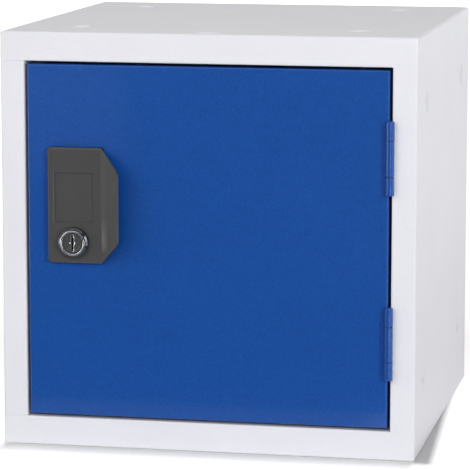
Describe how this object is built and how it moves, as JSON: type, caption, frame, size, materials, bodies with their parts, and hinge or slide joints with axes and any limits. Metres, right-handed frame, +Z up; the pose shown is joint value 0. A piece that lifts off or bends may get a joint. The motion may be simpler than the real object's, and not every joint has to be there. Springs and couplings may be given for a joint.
{
  "type": "cube locker",
  "caption": "Cube-shaped sheet-steel storage locker with a side-hinged door, a cam lock in a moulded finger-pull housing, and dished holes for linking lockers together.",
  "frame": {"origin": "centre of the body's underside", "axes": "+Z up, -Y out of the door, +X towards the hinge side"},
  "size_m": [0.305, 0.3218, 0.305],
  "materials": {
    "body_paint": "light grey powder coat, satin, very fine texture",
    "door_paint": "blue powder coat, satin, very fine texture",
    "housing_plastic": "dark grey moulded plastic, fine spark-eroded texture",
    "lock_chrome": "bright plated, with a darker worn plug face",
    "zinc_steel": "bright zinc plate",
    "buffer_rubber": "matt black"
  },
  "bodies": {
    "carcass": {"top_panel": "body_paint", "bottom_panel": "body_paint", "left_side_panel": "body_paint", "right_side_panel": "body_paint", "back_panel": "body_paint", "lower_door_buffer": "buffer_rubber", "upper_door_buffer": "buffer_rubber", "lower_hinge_frame_leaf": "door_paint", "upper_hinge_frame_leaf": "door_paint", "lower_hinge_pin": "door_paint", "upper_hinge_pin": "door_paint", "lower_hinge_rivet_1": "zinc_steel", "lower_hinge_rivet_2": "zinc_steel", "upper_hinge_rivet_1": "zinc_steel", "upper_hinge_rivet_2": "zinc_steel"},
    "door": {"door_pan": "door_paint", "lower_hinge_door_leaf": "door_paint", "upper_hinge_door_leaf": "door_paint", "lock_housing": "housing_plastic", "lower_housing_screw": "zinc_steel", "upper_housing_screw": "zinc_steel", "lock_barrel": "lock_chrome", "lock_nut": "zinc_steel"},
    "lock_core": {"lock_plug": "lock_chrome", "lock_cam": "zinc_steel", "cam_screw": "zinc_steel"}
  },
  "joints": [
    {"name": "door_hinge", "type": "hinge", "parent": "carcass", "child": "door", "pos_m": [0.1335, -0.155, 0.1525], "axis": [0, 0, 1], "range_deg": [0, 180]},
    {"name": "lock_turn", "type": "hinge", "parent": "door", "child": "lock_core", "pos_m": [-0.097, -0.14, 0.1527], "axis": [0, 1, 0], "range_deg": [0, 90]}
  ]
}
